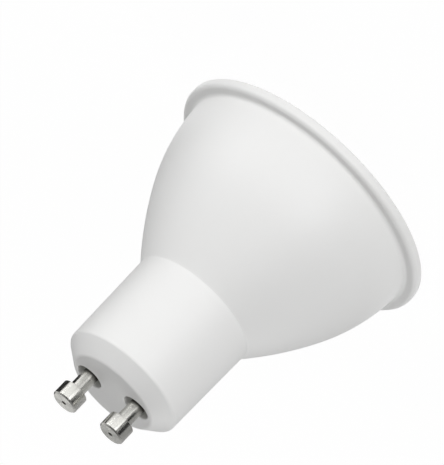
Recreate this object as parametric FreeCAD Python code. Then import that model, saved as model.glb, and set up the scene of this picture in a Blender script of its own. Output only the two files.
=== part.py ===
import FreeCAD, Part
import math
import os

# Spotlight lamp with a two-pin twist-lock cap. Millimetres and degrees.
# It stands on its rim: the origin is the middle of the front plane, +Z runs along the axis to the pins,
# and the two pins lie on the X axis.

# Rim: the widest ring, with a lip round the cover in front and a step at the back
rim_diameter = 50.0
rim_height = 1.95
rim_lip_width = 2.7
rim_step_width = 2.15
rim_front_break = 0.4
rim_back_break = 0.5

# Bell: two tangent arcs turned about the axis, set by the wall's lean from the axis at both ends
bell_length = 26.7
bell_foot_lean = 2.0
bell_neck_lean = 38.6

# Neck with the draft of its mould, then a cone that narrows to the end face
neck_diameter = 22.8
neck_length = 17.85
neck_draft = 1.0
neck_edge_break = 0.35
cone_length = 2.5

# Contact pins, each turned from bar: a tail, a shank and a wide flat head with a centre dimple
pin_spacing = 10.0
pin_reach = 6.2
pin_head_diameter = 4.7
pin_head_length = 2.9
pin_tip_chamfer = 0.2
pin_shank_diameter = 2.8
pin_tail_diameter = 2.0
pin_tail_length = 5.0
dimple_diameter = 0.9
dimple_depth = 0.25

# Recess round each pin in the end face, with a margin to the face's edge, and the bore for the pin's tail
recess_diameter = 5.0
recess_depth = 1.8
recess_margin = 0.65
tail_clearance = 0.05
tail_end_gap = 0.3

# Front cover: an opal disc set into a rebate in the rim
cover_thickness = 1.5
cover_recess = 0.3
cover_clearance = 0.1

# Radii, heights and places that follow
rim_radius = rim_diameter / 2
foot_radius = rim_radius - rim_step_width
rebate_radius = rim_radius - rim_lip_width
rebate_depth = cover_recess + cover_thickness
neck_radius = neck_diameter / 2
neck_height = rim_height + bell_length
cone_height = neck_height + neck_length
end_face_height = cone_height + cone_length
end_face_radius = (pin_spacing + recess_diameter) / 2 + recess_margin
recess_floor_height = end_face_height - recess_depth
tip_height = end_face_height + pin_reach
pin_places = {
    "contact_pin_left": -pin_spacing / 2,
    "contact_pin_right": pin_spacing / 2,
}

axis_start = FreeCAD.Vector(0, 0, 0)
axis_direction = FreeCAD.Vector(0, 0, 1)


def at(radius, height):
    """A point of a half section, in the XZ plane."""
    return FreeCAD.Vector(radius, 0, height)


def path(*points):
    """Straight edges from point to point."""
    return [Part.LineSegment(start, end).toShape() for start, end in zip(points, points[1:])]


def arc(start, corner, end):
    """The arc from start to end that is tangent to the two legs, of one length, that meet at the corner."""
    middle = (start + end) / 2
    half_chord = start.distanceToPoint(middle)
    rise = corner.distanceToPoint(middle)
    leg = math.hypot(half_chord, rise)
    crown = middle + (corner - middle) * (half_chord * (leg - half_chord) / rise ** 2)
    return Part.Arc(start, crown, end).toShape()


def turned(edges):
    """The solid that a closed half section sweeps about the Z axis."""
    section = Part.Face(Part.Wire(edges))
    return section.revolve(axis_start, axis_direction, 360)


def upward(lean):
    """The unit step up a wall that leans towards the axis by an angle."""
    return at(-math.sin(math.radians(lean)), math.cos(math.radians(lean)))


def bell_wall():
    """The bell's wall: two arcs, tangent where they meet and with all legs alike, from the foot to the neck."""
    foot = at(foot_radius, rim_height)
    top = at(neck_radius, neck_height)
    foot_step = upward(bell_foot_lean)
    top_step = upward(bell_neck_lean)
    span = top - foot
    steps = foot_step + top_step
    spread = 4 - steps.dot(steps)
    reach = span.dot(steps)
    leg = span.dot(span) / (reach + math.sqrt(reach ** 2 + spread * span.dot(span)))
    foot_corner = foot + foot_step * leg
    top_corner = top - top_step * leg
    joint = (foot_corner + top_corner) / 2
    return [arc(foot, foot_corner, joint), arc(joint, top_corner, top)]


def neck_wall():
    """The drafted neck, its broken edge and the cone, from the bell to the end face."""
    root = at(neck_radius, neck_height)
    edge = at(neck_radius - neck_length * math.tan(math.radians(neck_draft)), cone_height)
    end = at(end_face_radius, end_face_height)
    break_start = edge + (root - edge).normalize() * neck_edge_break
    break_end = edge + (end - edge).normalize() * neck_edge_break
    return path(root, break_start, break_end, end)


def pin_seat(pin_x):
    """What is taken out of the end face for one pin: the recess, and the bore for the tail."""
    recess_radius = recess_diameter / 2
    bore_radius = pin_tail_diameter / 2 + tail_clearance
    bore_floor_height = recess_floor_height - pin_tail_length - tail_end_gap
    seat = turned(path(
        at(0, bore_floor_height),
        at(bore_radius, bore_floor_height),
        at(bore_radius, recess_floor_height),
        at(recess_radius, recess_floor_height),
        at(recess_radius, tip_height),
        at(0, tip_height),
        at(0, bore_floor_height),
    ))
    seat.translate(FreeCAD.Vector(pin_x, 0, 0))
    return seat


def housing():
    """Rim, bell, neck and end face in one moulding, closed and solid inside."""
    rim = path(
        at(0, rebate_depth),
        at(rebate_radius, rebate_depth),
        at(rebate_radius, 0),
        at(rim_radius - rim_front_break, 0),
        at(rim_radius, rim_front_break),
        at(rim_radius, rim_height - rim_back_break),
        at(rim_radius - rim_back_break, rim_height),
        at(foot_radius, rim_height),
    )
    end_face = path(
        at(end_face_radius, end_face_height),
        at(0, end_face_height),
        at(0, rebate_depth),
    )
    body = turned(rim + bell_wall() + neck_wall() + end_face)
    for pin_x in pin_places.values():
        body = body.cut(pin_seat(pin_x))
    return body


def front_cover():
    """The opal disc, flat on the floor of the rebate and a little behind the rim's front plane."""
    return Part.makeCylinder(rebate_radius - cover_clearance, cover_thickness, at(0, cover_recess))


def contact_pin(pin_x):
    """One pin: its shank stands on the floor of the recess and its tail hangs in the bore."""
    tail_radius = pin_tail_diameter / 2
    shank_radius = pin_shank_diameter / 2
    head_radius = pin_head_diameter / 2
    head_height = tip_height - pin_head_length
    tail_end_height = recess_floor_height - pin_tail_length
    pin = turned(path(
        at(0, tail_end_height),
        at(tail_radius, tail_end_height),
        at(tail_radius, recess_floor_height),
        at(shank_radius, recess_floor_height),
        at(shank_radius, head_height),
        at(head_radius, head_height),
        at(head_radius, tip_height - pin_tip_chamfer),
        at(head_radius - pin_tip_chamfer, tip_height),
        at(dimple_diameter / 2, tip_height),
        at(0, tip_height - dimple_depth),
        at(0, tail_end_height),
    ))
    pin.translate(FreeCAD.Vector(pin_x, 0, 0))
    return pin


pieces = {"housing": housing(), "front_cover": front_cover()}
for name, pin_x in pin_places.items():
    pieces[name] = contact_pin(pin_x)

os.makedirs("parts", exist_ok=True)
for name, shape in pieces.items():
    shape.exportStep(f"parts/{name}.step")
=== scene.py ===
import bmesh
import bpy
import math
from mathutils import Matrix, Vector


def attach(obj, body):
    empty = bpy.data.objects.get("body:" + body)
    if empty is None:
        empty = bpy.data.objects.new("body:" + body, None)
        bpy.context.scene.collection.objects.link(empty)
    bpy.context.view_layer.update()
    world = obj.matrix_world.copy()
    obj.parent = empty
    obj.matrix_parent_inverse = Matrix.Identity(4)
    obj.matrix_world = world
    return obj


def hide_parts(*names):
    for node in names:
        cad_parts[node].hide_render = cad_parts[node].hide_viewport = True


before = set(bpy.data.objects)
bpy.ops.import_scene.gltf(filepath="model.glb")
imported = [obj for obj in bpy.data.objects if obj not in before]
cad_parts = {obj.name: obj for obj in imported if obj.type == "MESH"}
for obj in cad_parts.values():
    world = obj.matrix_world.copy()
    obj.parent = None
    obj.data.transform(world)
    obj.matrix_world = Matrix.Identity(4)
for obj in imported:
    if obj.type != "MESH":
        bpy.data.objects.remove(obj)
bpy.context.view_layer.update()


# Housing
# The lamp's one white moulding, in satin thermoplastic: rim, bell, neck and the end face that holds the pins.
# It is drawn as a half section and turned about the lamp's axis, then each pin's recess and bore are cut out.
mm = 0.001
rim_radius = 25.0 * mm
rim_height = 1.95 * mm
rim_lip_width = 2.7 * mm
rim_step_width = 2.15 * mm
rebate_depth = 1.8 * mm
bell_length = 26.7 * mm
bell_foot_lean = math.radians(2.0)
bell_neck_lean = math.radians(38.6)
neck_radius = 11.4 * mm
neck_length = 17.85 * mm
neck_draft = math.radians(1.0)
cone_length = 2.5 * mm
pin_offset = 5.0 * mm
recess_radius = 2.5 * mm
recess_depth = 1.8 * mm
recess_margin = 0.65 * mm
bore_radius = 1.05 * mm
bore_depth = 5.3 * mm

lip_round = 0.2 * mm
rim_front_round = 0.5 * mm
rim_back_round = 0.8 * mm
foot_round = 0.65 * mm
neck_root_round = 0.25 * mm
neck_edge_round = 0.65 * mm
end_face_round = 0.9 * mm
recess_lead = 0.12 * mm
recess_floor_round = 0.2 * mm

rebate_radius = rim_radius - rim_lip_width
foot_radius = rim_radius - rim_step_width
neck_height = rim_height + bell_length
neck_edge_radius = neck_radius - neck_length * math.tan(neck_draft)
neck_edge_height = neck_height + neck_length
end_face_radius = pin_offset + recess_radius + recess_margin
end_face_height = neck_edge_height + cone_length
recess_mouth_height = end_face_height - recess_lead
recess_floor_height = end_face_height - recess_depth
bore_floor_height = recess_floor_height - bore_depth

bell_foot_steps = 14
bell_neck_steps = 18
housing_steps = 224
recess_steps = 72
merge_distance = 0.001 * mm
crease_angle = math.radians(32)
flat_normal = 0.99999


def start_section(name, radius, height):
    """A new object in edit mode, with the first point of a half section in the XZ plane."""
    bpy.ops.object.select_all(action="DESELECT")
    bpy.ops.mesh.primitive_plane_add(size=mm, enter_editmode=True, location=(0, 0, 0))
    piece = bpy.context.object
    piece.name = name
    piece.data.name = name
    bpy.ops.mesh.merge(type="CENTER")
    bpy.ops.transform.translate(value=(radius, 0, height))
    return piece


def section_points():
    """The points of the mesh that is being edited."""
    return bmesh.from_edit_mesh(bpy.context.object.data).verts


def line_to(radius, height):
    """Draws the section on to a point, in a straight line."""
    pen = next(point.co.copy() for point in section_points() if point.select)
    step = Vector((radius, 0, height)) - pen
    bpy.ops.mesh.extrude_region_move(TRANSFORM_OT_translate={"value": step})


def upward(lean):
    """The unit step up a wall that leans towards the axis by an angle."""
    return Vector((-math.sin(lean), 0, math.cos(lean)))


def arc_up(start, lean, end_lean, leg, steps):
    """Draws the section on along an arc that leans more as it rises, from its start and its tangent legs."""
    turn = end_lean - lean
    middle = start + upward(lean + math.pi / 2) * (leg / math.tan(turn / 2))
    bpy.ops.mesh.spin(steps=steps, angle=turn, center=middle, axis=(0, 1, 0))


def draw_bell():
    """Draws the bell on from its foot to the neck: two arcs, tangent where they meet, with all legs alike."""
    foot = Vector((foot_radius, 0, rim_height))
    top = Vector((neck_radius, 0, neck_height))
    span = top - foot
    both_steps = upward(bell_foot_lean) + upward(bell_neck_lean)
    spread = 4 - both_steps.length_squared
    reach = span.dot(both_steps)
    leg = span.length_squared / (reach + math.sqrt(reach ** 2 + spread * span.length_squared))
    foot_corner = foot + upward(bell_foot_lean) * leg
    top_corner = top - upward(bell_neck_lean) * leg
    joint = (foot_corner + top_corner) / 2
    rise = top_corner - foot_corner
    joint_lean = math.atan2(-rise.x, rise.z)
    arc_up(foot, bell_foot_lean, joint_lean, leg, bell_foot_steps)
    arc_up(joint, joint_lean, bell_neck_lean, leg, bell_neck_steps)


def round_corner(radius, height, size, steps):
    """Rounds the section's corner at a place to a radius. One step makes a chamfer."""
    place = Vector((radius, 0, height))
    bpy.ops.mesh.select_all(action="DESELECT")
    corner = min(section_points(), key=lambda point: (point.co - place).length)
    first, second = [(edge.other_vert(corner).co - corner.co) for edge in corner.link_edges]
    run = size / math.tan(first.angle(second) / 2)
    corner.select = True
    bpy.ops.mesh.bevel(offset=run, segments=steps, affect="VERTICES")


def turn_section(steps):
    """Turns the drawn section about the Z axis into a closed skin that faces outwards."""
    bpy.ops.mesh.select_all(action="SELECT")
    bpy.ops.mesh.spin(steps=steps, angle=math.tau, center=(0, 0, 0), axis=(0, 0, 1))
    bpy.ops.mesh.select_all(action="SELECT")
    bpy.ops.mesh.remove_doubles(threshold=merge_distance)
    bpy.ops.mesh.normals_make_consistent(inside=False)
    bpy.ops.object.mode_set(mode="OBJECT")


def join_fan(height):
    """Joins the fan of flat faces about a point on the axis into one, so that a cut leaves no slivers."""
    middle = Vector((0, 0, height))
    bpy.ops.object.mode_set(mode="EDIT")
    bpy.ops.mesh.select_all(action="DESELECT")
    hub = min(section_points(), key=lambda point: (point.co - middle).length)
    hub.select = True
    bpy.ops.mesh.dissolve_verts()
    bpy.ops.object.mode_set(mode="OBJECT")


def shade(piece):
    """Smooth shading that breaks at creases and leaves every flat face flat."""
    bpy.ops.object.select_all(action="DESELECT")
    piece.select_set(True)
    bpy.context.view_layer.objects.active = piece
    bpy.ops.object.shade_smooth_by_angle(angle=crease_angle)
    for face in piece.data.polygons:
        if abs(face.normal.z) > flat_normal:
            face.use_smooth = False


housing = start_section("housing_shell", 0, rebate_depth)
line_to(rebate_radius, rebate_depth)
line_to(rebate_radius, 0)
line_to(rim_radius, 0)
line_to(rim_radius, rim_height)
line_to(foot_radius, rim_height)
draw_bell()
line_to(neck_edge_radius, neck_edge_height)
line_to(end_face_radius, end_face_height)
line_to(0, end_face_height)
round_corner(rebate_radius, 0, lip_round, steps=4)
round_corner(rim_radius, 0, rim_front_round, steps=8)
round_corner(rim_radius, rim_height, rim_back_round, steps=10)
round_corner(foot_radius, rim_height, foot_round, steps=7)
round_corner(neck_radius, neck_height, neck_root_round, steps=4)
round_corner(neck_edge_radius, neck_edge_height, neck_edge_round, steps=8)
round_corner(end_face_radius, end_face_height, end_face_round, steps=7)
turn_section(housing_steps)
join_fan(end_face_height)

for side in (-1, 1):
    cutter = start_section("recess_cutter", 0, bore_floor_height)
    line_to(bore_radius, bore_floor_height)
    line_to(bore_radius, recess_floor_height)
    line_to(recess_radius, recess_floor_height)
    line_to(recess_radius, recess_mouth_height)
    line_to(recess_radius + recess_lead, end_face_height)
    line_to(recess_radius + 2 * recess_lead, end_face_height + recess_lead)
    line_to(0, end_face_height + recess_lead)
    round_corner(recess_radius, recess_floor_height, recess_floor_round, steps=4)
    turn_section(recess_steps)
    cutter.data.transform(Matrix.Translation((side * pin_offset, 0, 0)))
    cut = housing.modifiers.new("recess", "BOOLEAN")
    cut.operation = "DIFFERENCE"
    cut.solver = "EXACT"
    cut.object = cutter
    bpy.context.view_layer.objects.active = housing
    bpy.ops.object.modifier_apply(modifier="recess")
    bpy.data.objects.remove(cutter)
shade(housing)


def new_group(name, inputs, outputs):
    """An empty node group with named sockets, as (group, nodes, link call, input node, output node)."""
    group = bpy.data.node_groups.new(name, "ShaderNodeTree")
    for in_out, sockets in (("INPUT", inputs), ("OUTPUT", outputs)):
        for socket, kind in sockets.items():
            group.interface.new_socket(socket, in_out=in_out, socket_type=kind)
    nodes = group.nodes
    return group, nodes, group.links.new, nodes.new("NodeGroupInput"), nodes.new("NodeGroupOutput")


def place_group(nodes, group, values):
    """A node group placed among a material's or another group's nodes, with its own values."""
    node = nodes.new("ShaderNodeGroup")
    node.node_tree = group
    for name, value in values.items():
        node.inputs[name].default_value = value
    return node


def math_node(nodes, operation):
    """A Math node for an operation."""
    node = nodes.new("ShaderNodeMath")
    node.operation = operation
    return node


def grain_group():
    """Fine grain: two tints that drift into each other, and a roughness and a height that vary finely."""
    group, nodes, link, given, result = new_group(
        "fine grain",
        inputs={
            "Tint": "NodeSocketColor",
            "Second tint": "NodeSocketColor",
            "Drift scale": "NodeSocketFloat",
            "Grain scale": "NodeSocketFloat",
            "Low roughness": "NodeSocketFloat",
            "High roughness": "NodeSocketFloat",
        },
        outputs={"Colour": "NodeSocketColor", "Roughness": "NodeSocketFloat", "Height": "NodeSocketFloat"},
    )
    place = nodes.new("ShaderNodeTexCoord")
    drift = nodes.new("ShaderNodeTexNoise")
    drift.inputs["Detail"].default_value = 3.0
    grain = nodes.new("ShaderNodeTexNoise")
    grain.inputs["Detail"].default_value = 2.0
    tint = nodes.new("ShaderNodeMix")
    tint.data_type = "RGBA"
    gloss = nodes.new("ShaderNodeMapRange")
    gloss.inputs["From Min"].default_value = 0.3
    gloss.inputs["From Max"].default_value = 0.7
    link(place.outputs["Object"], drift.inputs["Vector"])
    link(place.outputs["Object"], grain.inputs["Vector"])
    link(given.outputs["Drift scale"], drift.inputs["Scale"])
    link(given.outputs["Grain scale"], grain.inputs["Scale"])
    link(drift.outputs["Fac"], tint.inputs["Factor"])
    link(given.outputs["Tint"], tint.inputs["A"])
    link(given.outputs["Second tint"], tint.inputs["B"])
    link(grain.outputs["Fac"], gloss.inputs["Value"])
    link(given.outputs["Low roughness"], gloss.inputs["To Min"])
    link(given.outputs["High roughness"], gloss.inputs["To Max"])
    link(tint.outputs["Result"], result.inputs["Colour"])
    link(gloss.outputs["Result"], result.inputs["Roughness"])
    link(grain.outputs["Fac"], result.inputs["Height"])
    return group


def pin_place_group():
    """Where a point lies about the nearer pin: its distance from the pin's axis, and its height."""
    group, nodes, link, given, result = new_group(
        "place about a pin",
        inputs={"Offset": "NodeSocketFloat"},
        outputs={"Radius": "NodeSocketFloat", "Height": "NodeSocketFloat"},
    )
    place = nodes.new("ShaderNodeTexCoord")
    parts = nodes.new("ShaderNodeSeparateXYZ")
    side = math_node(nodes, "ABSOLUTE")
    across = math_node(nodes, "SUBTRACT")
    flat = nodes.new("ShaderNodeCombineXYZ")
    radius = nodes.new("ShaderNodeVectorMath")
    radius.operation = "LENGTH"
    link(place.outputs["Object"], parts.inputs["Vector"])
    link(parts.outputs["X"], side.inputs[0])
    link(side.outputs["Value"], across.inputs[0])
    link(given.outputs["Offset"], across.inputs[1])
    link(across.outputs["Value"], flat.inputs["X"])
    link(parts.outputs["Y"], flat.inputs["Y"])
    link(flat.outputs["Vector"], radius.inputs[0])
    link(radius.outputs["Value"], result.inputs["Radius"])
    link(parts.outputs["Z"], result.inputs["Height"])
    return group


def recess_group():
    """How deep a point lies in a pin's recess: 0 at the mouth and outside, 1 from a full depth on."""
    group, nodes, link, given, result = new_group(
        "depth in a recess",
        inputs={
            "Offset": "NodeSocketFloat",
            "Recess radius": "NodeSocketFloat",
            "Mouth height": "NodeSocketFloat",
            "Full height": "NodeSocketFloat",
        },
        outputs={"Depth": "NodeSocketFloat"},
    )
    spot = place_group(nodes, pin_place, {})
    inside = math_node(nodes, "LESS_THAN")
    fall = nodes.new("ShaderNodeMapRange")
    depth = math_node(nodes, "MULTIPLY")
    link(given.outputs["Offset"], spot.inputs["Offset"])
    link(spot.outputs["Radius"], inside.inputs[0])
    link(given.outputs["Recess radius"], inside.inputs[1])
    link(spot.outputs["Height"], fall.inputs["Value"])
    link(given.outputs["Mouth height"], fall.inputs["From Min"])
    link(given.outputs["Full height"], fall.inputs["From Max"])
    link(inside.outputs["Value"], depth.inputs[0])
    link(fall.outputs["Result"], depth.inputs[1])
    link(depth.outputs["Value"], result.inputs["Depth"])
    return group


def new_material(name):
    """A new material with its shader, as (material, nodes, link call, shader)."""
    material = bpy.data.materials.new(name)
    material.use_nodes = True
    nodes = material.node_tree.nodes
    return material, nodes, material.node_tree.links.new, nodes["Principled BSDF"]


def colour_towards(nodes, link, start, end, share):
    """A start socket's colour, mixed towards a fixed end colour by a share socket."""
    mix = nodes.new("ShaderNodeMix")
    mix.data_type = "RGBA"
    mix.inputs["B"].default_value = end
    link(share, mix.inputs["Factor"])
    link(start, mix.inputs["A"])
    return mix.outputs["Result"]


def raise_surface(nodes, link, shader, height, strength, distance):
    """Lets a height socket show on a shader as a bump."""
    bump = nodes.new("ShaderNodeBump")
    bump.inputs["Strength"].default_value = strength
    bump.inputs["Distance"].default_value = distance
    link(height, bump.inputs["Height"])
    link(bump.outputs["Normal"], shader.inputs["Normal"])


def paint(piece, material):
    """Gives a piece its one material."""
    piece.data.materials.clear()
    piece.data.materials.append(material)


# Painted shade: the plastic darkens with depth inside each pin's recess, standing in for the shade that falls
# in there.
recess_shade_colour = (0.78, 0.78, 0.75, 1)
recess_shade_margin = 0.05 * mm
recess_shade_depth = 0.9 * mm
fine_grain = grain_group()
pin_place = pin_place_group()
white_plastic, nodes, link, shader = new_material("white satin plastic")
grain = place_group(nodes, fine_grain, {
    "Tint": (0.86, 0.86, 0.85, 1),
    "Second tint": (0.88, 0.88, 0.875, 1),
    "Drift scale": 60.0,
    "Grain scale": 3500.0,
    "Low roughness": 0.42,
    "High roughness": 0.52,
})
recess = place_group(nodes, recess_group(), {
    "Offset": pin_offset,
    "Recess radius": recess_radius + recess_shade_margin,
    "Mouth height": recess_mouth_height,
    "Full height": end_face_height - recess_shade_depth,
})
recess_shaded = colour_towards(nodes, link, grain.outputs["Colour"], recess_shade_colour, recess.outputs["Depth"])
link(recess_shaded, shader.inputs["Base Color"])
link(grain.outputs["Roughness"], shader.inputs["Roughness"])
raise_surface(nodes, link, shader, grain.outputs["Height"], strength=0.12, distance=0.02 * mm)
shader.inputs["IOR"].default_value = 1.5
paint(housing, white_plastic)
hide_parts("housing")
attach(housing, "root")


# Front cover
# A flat disc of opal diffuser plastic, moulded with a rounded front edge and frosted all over.
# It is pressed into the rebate behind the rim's lip and lies flat on the rebate's floor.
cover_thickness = 1.5 * mm
cover_clearance = 0.1 * mm
cover_round = 0.3 * mm
cover_radius = rebate_radius - cover_clearance
cover_front = rebate_depth - cover_thickness
cover = start_section("diffuser_disc", 0, cover_front)
line_to(cover_radius, cover_front)
line_to(cover_radius, rebate_depth)
line_to(0, rebate_depth)
round_corner(cover_radius, cover_front, cover_round, steps=6)
turn_section(housing_steps)
shade(cover)

opal_plastic, nodes, link, shader = new_material("frosted opal plastic")
grain = place_group(nodes, fine_grain, {
    "Tint": (0.89, 0.89, 0.87, 1),
    "Second tint": (0.92, 0.92, 0.905, 1),
    "Drift scale": 45.0,
    "Grain scale": 5200.0,
    "Low roughness": 0.55,
    "High roughness": 0.7,
})
link(grain.outputs["Colour"], shader.inputs["Base Color"])
link(grain.outputs["Roughness"], shader.inputs["Roughness"])
raise_surface(nodes, link, shader, grain.outputs["Height"], strength=0.3, distance=0.02 * mm)
shader.inputs["IOR"].default_value = 1.49
paint(cover, opal_plastic)
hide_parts("front_cover")
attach(cover, "root")


# Contact pins
# Two brass pins, turned from bar and nickel plated: a tail, a shank and a wide head with a centre dimple.
# Each is pressed into its bore in the end face until the shank's shoulder stands on the recess's floor.
pin_reach = 6.2 * mm
head_radius = 2.35 * mm
head_length = 2.9 * mm
shank_radius = 1.4 * mm
tail_clearance = 0.05 * mm
tail_end_gap = 0.3 * mm
dimple_radius = 0.45 * mm
dimple_depth = 0.35 * mm
tip_chamfer = 0.24 * mm
head_foot_round = 0.1 * mm
shank_top_round = 0.12 * mm
tail_end_round = 0.2 * mm
dimple_round = 0.06 * mm
tail_radius = bore_radius - tail_clearance
tail_end = bore_floor_height + tail_end_gap
tip = end_face_height + pin_reach
head_foot = tip - head_length
pin_steps = 96
left_pin = start_section("turned_pin_left", 0, tail_end)
line_to(tail_radius, tail_end)
line_to(tail_radius, recess_floor_height)
line_to(shank_radius, recess_floor_height)
line_to(shank_radius, head_foot)
line_to(head_radius, head_foot)
line_to(head_radius, tip)
line_to(dimple_radius, tip)
line_to(0, tip - dimple_depth)
round_corner(tail_radius, tail_end, tail_end_round, steps=3)
round_corner(shank_radius, head_foot, shank_top_round, steps=4)
round_corner(head_radius, head_foot, head_foot_round, steps=4)
round_corner(head_radius, tip, tip_chamfer, steps=1)
round_corner(dimple_radius, tip, dimple_round, steps=3)
turn_section(pin_steps)
shade(left_pin)
right_pin = left_pin.copy()
right_pin.data = left_pin.data.copy()
right_pin.name = "turned_pin_right"
right_pin.data.name = "turned_pin_right"
bpy.context.collection.objects.link(right_pin)
left_pin.data.transform(Matrix.Translation((-pin_offset, 0, 0)))
right_pin.data.transform(Matrix.Translation((pin_offset, 0, 0)))


def turning_group():
    """Marks of the lathe, as rings round the pin's axis, grime in the dimple, and painted shade round the
    pin's base.
    """
    group, nodes, link, given, result = new_group(
        "turning marks",
        inputs={
            "Offset": "NodeSocketFloat",
            "Dimple radius": "NodeSocketFloat",
            "Ring scale": "NodeSocketFloat",
            "Base height": "NodeSocketFloat",
            "Unshaded height": "NodeSocketFloat",
        },
        outputs={"Height": "NodeSocketFloat", "Grime and shade": "NodeSocketFloat"},
    )
    spot = place_group(nodes, pin_place, {})
    along = math_node(nodes, "ADD")
    lathe = nodes.new("ShaderNodeCombineXYZ")
    rings = nodes.new("ShaderNodeTexWave")
    rings.bands_direction = "Z"
    rings.inputs["Distortion"].default_value = 0.0
    dimple = math_node(nodes, "LESS_THAN")
    base = nodes.new("ShaderNodeMapRange")
    base.inputs["To Min"].default_value = 1.0
    base.inputs["To Max"].default_value = 0.0
    grime_and_shade = math_node(nodes, "MAXIMUM")
    link(given.outputs["Offset"], spot.inputs["Offset"])
    link(spot.outputs["Radius"], along.inputs[0])
    link(spot.outputs["Height"], along.inputs[1])
    link(along.outputs["Value"], lathe.inputs["Z"])
    link(lathe.outputs["Vector"], rings.inputs["Vector"])
    link(given.outputs["Ring scale"], rings.inputs["Scale"])
    link(rings.outputs["Fac"], result.inputs["Height"])
    link(spot.outputs["Radius"], dimple.inputs[0])
    link(given.outputs["Dimple radius"], dimple.inputs[1])
    link(spot.outputs["Height"], base.inputs["Value"])
    link(given.outputs["Base height"], base.inputs["From Min"])
    link(given.outputs["Unshaded height"], base.inputs["From Max"])
    link(dimple.outputs["Value"], grime_and_shade.inputs[0])
    link(base.outputs["Result"], grime_and_shade.inputs[1])
    link(grime_and_shade.outputs["Value"], result.inputs["Grime and shade"])
    return group


# Near-black grime in each pin's dimple, and painted shade on the shank where it stands in its recess, fading
# out above the end face.
grime_and_shade_colour = (0.10, 0.095, 0.085, 1)
base_shade_below_face = 0.3 * mm
base_shade_above_face = 0.4 * mm
nickel, nodes, link, shader = new_material("bright nickel plate")
grain = place_group(nodes, fine_grain, {
    "Tint": (0.73, 0.725, 0.69, 1),
    "Second tint": (0.79, 0.785, 0.745, 1),
    "Drift scale": 700.0,
    "Grain scale": 2500.0,
    "Low roughness": 0.22,
    "High roughness": 0.26,
})
marks = place_group(nodes, turning_group(), {
    "Offset": pin_offset,
    "Dimple radius": dimple_radius,
    "Ring scale": 3500.0,
    "Base height": end_face_height - base_shade_below_face,
    "Unshaded height": end_face_height + base_shade_above_face,
})
grimed_and_shaded = colour_towards(nodes, link, grain.outputs["Colour"], grime_and_shade_colour, marks.outputs["Grime and shade"])
link(grimed_and_shaded, shader.inputs["Base Color"])
link(grain.outputs["Roughness"], shader.inputs["Roughness"])
raise_surface(nodes, link, shader, marks.outputs["Height"], strength=1.0, distance=0.001 * mm)
shader.inputs["Anisotropic"].default_value = 0.95
shader.inputs["Anisotropic Rotation"].default_value = 0.25
shader.inputs["Metallic"].default_value = 1.0
for pin, node in ((left_pin, "contact_pin_left"), (right_pin, "contact_pin_right")):
    paint(pin, nickel)
    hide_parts(node)
    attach(pin, "root")


# Floor
# A plain white studio floor under the rim, which sends light back up at the lamp.
# The camera and mirror-like metal see it as a white ground with the lamp's faint shadow on it.
floor_size = 6.0
floor_gap = 0.05 * mm
bpy.ops.object.select_all(action="DESELECT")
bpy.ops.mesh.primitive_plane_add(size=floor_size, location=(0, 0, 0))
floor = bpy.context.object
floor.name = "studio_floor"
floor.data.transform(Matrix.Translation((0, 0, -floor_gap)))
floor_paint, nodes, link, shader = new_material("white studio floor")
nodes.remove(shader)
lit = nodes.new("ShaderNodeBsdfDiffuse")
lit.inputs["Color"].default_value = (0.9, 0.9, 0.9, 1)
glow = nodes.new("ShaderNodeEmission")
glow.inputs["Strength"].default_value = 0.935
shadow = nodes.new("ShaderNodeBsdfDiffuse")
shadow.inputs["Color"].default_value = (0.11, 0.11, 0.11, 1)
ground = nodes.new("ShaderNodeAddShader")
link(glow.outputs["Emission"], ground.inputs[0])
link(shadow.outputs["BSDF"], ground.inputs[1])
ray = nodes.new("ShaderNodeLightPath")
seen = ray.outputs["Is Camera Ray"]
for kind in ("Is Glossy Ray", "Is Transmission Ray"):
    either = math_node(nodes, "MAXIMUM")
    link(seen, either.inputs[0])
    link(ray.outputs[kind], either.inputs[1])
    seen = either.outputs["Value"]
choice = nodes.new("ShaderNodeMixShader")
link(seen, choice.inputs["Fac"])
link(lit.outputs["BSDF"], choice.inputs[1])
link(ground.outputs["Shader"], choice.inputs[2])
link(choice.outputs["Shader"], nodes["Material Output"].inputs["Surface"])
paint(floor, floor_paint)


# Studio light
# Three soft boxes stand low in front of the lamp and two higher behind it, all the same distance away.
# The room's own light is brightest at the horizon and fades to a dark ceiling.
lamp_centre = Vector((0, 0, 25 * mm))
box_distance = 1.2


def towards(azimuth, elevation):
    """The direction from the lamp to a place in the studio; azimuth 0 is in front, on the -Y side."""
    around = math.radians(azimuth)
    rise = math.radians(elevation)
    return Vector((math.sin(around) * math.cos(rise), -math.cos(around) * math.cos(rise), math.sin(rise)))


soft_boxes = [
    ("front_left_box", -40, 5, 0.7, 0.2, 3.85),
    ("front_box", 0, 5, 0.7, 0.2, 1.42),
    ("front_right_box", 40, 5, 0.7, 0.2, 2.89),
    ("back_high_box", 150, 52, 0.6, 0.6, 1.47),
    ("back_left_box", -160, 22, 0.6, 0.4, 2.05),
]
for name, azimuth, elevation, width, height, power in soft_boxes:
    light = bpy.data.lights.new(name, "AREA")
    light.shape = "RECTANGLE"
    light.size = width
    light.size_y = height
    light.energy = power
    box = bpy.data.objects.new(name, light)
    bpy.context.collection.objects.link(box)
    back = towards(azimuth, elevation)
    box.location = lamp_centre + back * box_distance
    box.rotation_mode = "QUATERNION"
    box.rotation_quaternion = back.to_track_quat("Z", "Y")
    box.visible_camera = False

horizon_level = 1.07
ceiling_level = 0.0
world = bpy.data.worlds.new("studio")
bpy.context.scene.world = world
world.use_nodes = True
nodes = world.node_tree.nodes
link = world.node_tree.links.new
room = nodes["Background"]
room.inputs["Color"].default_value = (1, 1, 1, 1)
direction = nodes.new("ShaderNodeTexCoord")
parts = nodes.new("ShaderNodeSeparateXYZ")
level = nodes.new("ShaderNodeMapRange")
level.inputs["To Min"].default_value = horizon_level
level.inputs["To Max"].default_value = ceiling_level
link(direction.outputs["Generated"], parts.inputs["Vector"])
link(parts.outputs["Z"], level.inputs["Value"])
link(level.outputs["Result"], room.inputs["Strength"])


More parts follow.
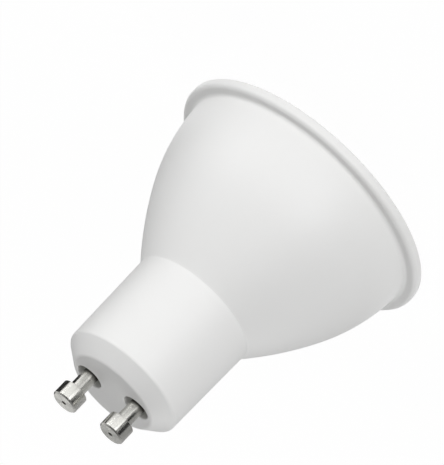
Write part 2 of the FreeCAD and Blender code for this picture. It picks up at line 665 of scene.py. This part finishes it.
# Cards
# Curved grey and black cards that only reflections see, so that the bright pins mirror something dark.
# Each has its first and last azimuth in degrees, its bottom and top in millimetres, and its tone.
card_distance = 48 * mm
card_steps = 24
cards = [
    ("black_card_left", -90, -42, 0, 90, 0.02),
    ("grey_card_left", -208, -90, 0, 90, 0.42),
    ("black_card_right", 64, 152, 0, 64, 0.03),
    ("grey_card_behind", 153, 182, 64, 112, 0.40),
]
for name, first, last, bottom, top, tone in cards:
    card = start_section(name, 0, bottom * mm)
    bpy.ops.transform.translate(value=towards(first, 0) * card_distance)
    bpy.ops.mesh.spin(steps=card_steps, angle=math.radians(last - first), center=(0, 0, 0), axis=(0, 0, -1))
    bpy.ops.mesh.select_all(action="SELECT")
    bpy.ops.mesh.extrude_region_move(TRANSFORM_OT_translate={"value": (0, 0, (top - bottom) * mm)})
    bpy.ops.object.mode_set(mode="OBJECT")
    board, nodes, link, shader = new_material(name)
    nodes.remove(shader)
    matt = nodes.new("ShaderNodeBsdfDiffuse")
    matt.inputs["Color"].default_value = (tone, tone, tone, 1)
    link(matt.outputs["BSDF"], nodes["Material Output"].inputs["Surface"])
    paint(card, board)
    card.visible_camera = False
    card.visible_diffuse = False
    card.visible_transmission = False
    card.visible_shadow = False


# Camera
# A long lens at the photo's angle, rolled so that the lamp lies across the picture,
# with its pins low on the left.
camera_aim = Vector((4.625 * mm, -2.418 * mm, 15.491 * mm))
camera_azimuth = -27.604
camera_elevation = 22.609
camera_distance = 740.080 * mm
camera_roll = math.radians(-135.9425)
back = towards(camera_azimuth, camera_elevation)
level_view = back.to_track_quat("Z", "Y").to_matrix()
camera = bpy.data.objects.new("camera", bpy.data.cameras.new("camera"))
bpy.context.collection.objects.link(camera)
camera.data.lens = 348.387
camera.data.sensor_width = 36.0
camera.data.clip_start = 0.01
camera.data.clip_end = 20.0
camera.location = camera_aim + back * camera_distance
camera.rotation_mode = "QUATERNION"
camera.rotation_quaternion = (level_view @ Matrix.Rotation(camera_roll, 3, "Z")).to_quaternion()
bpy.context.scene.camera = camera
bpy.context.scene.view_settings.view_transform = "Standard"
